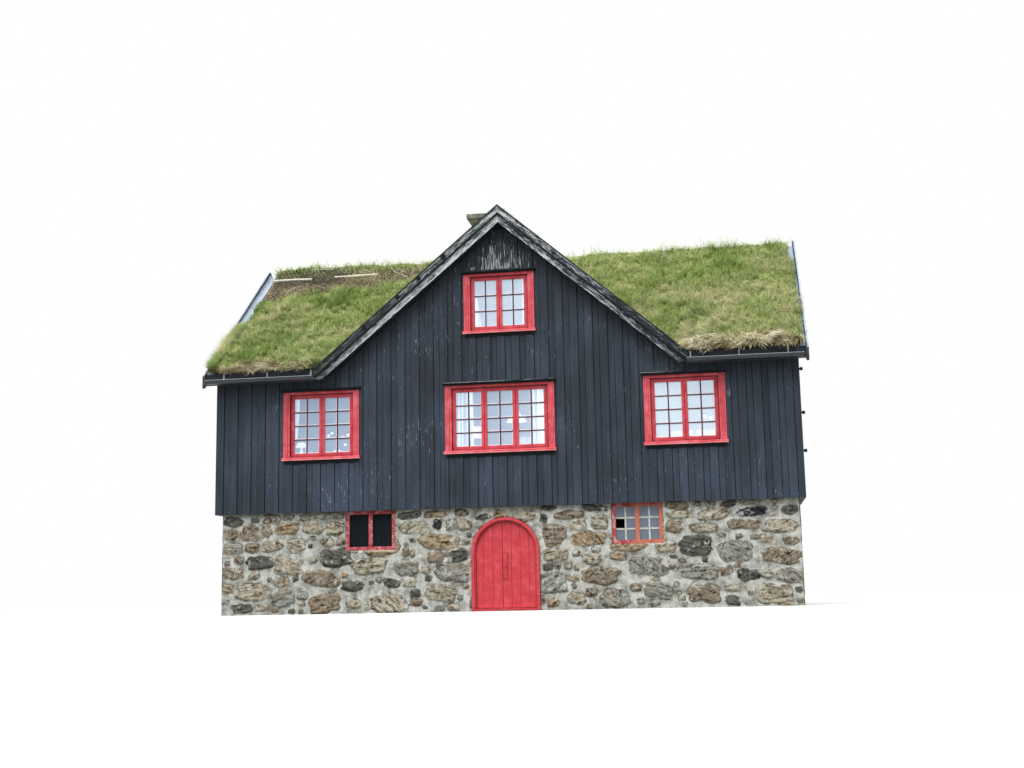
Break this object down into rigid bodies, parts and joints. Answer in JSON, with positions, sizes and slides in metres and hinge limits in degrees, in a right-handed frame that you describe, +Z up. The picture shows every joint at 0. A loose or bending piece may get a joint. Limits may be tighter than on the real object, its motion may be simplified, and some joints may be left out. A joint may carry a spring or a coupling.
{
  "type": "turf house",
  "caption": "Two-level turf-roofed timber house on a rubble stone cellar, with a front cross gable and an arched double cellar door.",
  "frame": {"origin": "middle of the plan, on the ground at the cellar door", "axes": "+Z up, the front with the gable and the cellar door faces -Y, the main ridge runs along X"},
  "size_m": [12.508, 8.8872, 9.1498],
  "materials": {
    "rubble_stone": "rough rubble stone laid in lime mortar",
    "tarred_boards": "black tarred boards",
    "plain_timber": "bare sawn timber",
    "weathered_boards": "dark boards, peeling and silvered",
    "red_paint": "timber painted red",
    "dark_red_paint": "weathered dark red paint on timber",
    "black_panel": "dark boarded panel",
    "turf": "growing turf",
    "window_glass": "clear pane",
    "black_gutter": "black painted sheet, glossy",
    "white_metal": "pale galvanised strip",
    "black_iron": "black painted iron",
    "chimney_stone": "mossy stone slab"
  },
  "bodies": {
    "house": {"attic_floor": "plain_timber", "back_wall": "tarred_boards", "cellar_arch": "rubble_stone", "cellar_floor": "rubble_stone", "cellar_glass": "window_glass", "cellar_lintel": "plain_timber", "cellar_wall_back": "rubble_stone", "cellar_wall_front_left": "rubble_stone", "cellar_wall_front_right": "rubble_stone", "cellar_wall_left": "rubble_stone", "cellar_wall_right": "rubble_stone", "cellar_window_panels": "black_panel", "cellar_windows": "dark_red_paint", "chimney_cap": "chimney_stone", "chimney_stack": "chimney_stone", "door_frame": "red_paint", "door_pintles_left": "black_iron", "door_pintles_right": "black_iron", "front_gable": "tarred_boards", "front_wall": "tarred_boards", "gable_barge_left": "weathered_boards", "gable_barge_right": "weathered_boards", "gutter_straps": "white_metal", "gutters": "black_gutter", "left_end_wall": "tarred_boards", "right_end_wall": "tarred_boards", "roof_deck_back": "plain_timber", "roof_deck_front_left": "plain_timber", "roof_deck_front_right": "plain_timber", "roof_deck_gable_left": "plain_timber", "roof_deck_gable_right": "plain_timber", "storey_floor": "plain_timber", "turf_back": "turf", "turf_boards": "weathered_boards", "turf_front_left": "turf", "turf_front_right": "turf", "turf_gable_left": "turf", "turf_gable_right": "turf", "verge_boards": "weathered_boards", "verge_flashings": "white_metal", "wall_hooks": "black_iron", "wall_plates": "plain_timber", "window_aprons": "tarred_boards", "window_casing_gable": "red_paint", "window_casings_back_and_ends": "red_paint", "window_casings_front": "red_paint", "window_drip_boards": "tarred_boards", "window_glass_back_and_ends": "window_glass", "window_glass_front": "window_glass", "window_sash_gable": "red_paint", "window_sashes_back_and_ends": "red_paint", "window_sashes_front": "red_paint"},
    "door_leaf_left": {"door_leaf_left": "red_paint", "door_straps_left": "black_iron"},
    "door_leaf_right": {"door_leaf_right": "red_paint", "door_straps_right": "black_iron", "door_lock": "black_iron"}
  },
  "joints": [
    {"name": "door_left_hinge", "type": "hinge", "parent": "house", "child": "door_leaf_left", "pos_m": [-0.585, -3.777, 0.67], "axis": [0, 0, 1], "range_deg": [0, 90]},
    {"name": "door_right_hinge", "type": "hinge", "parent": "house", "child": "door_leaf_right", "pos_m": [0.735, -3.777, 0.67], "axis": [0, 0, -1], "range_deg": [0, 90]}
  ]
}
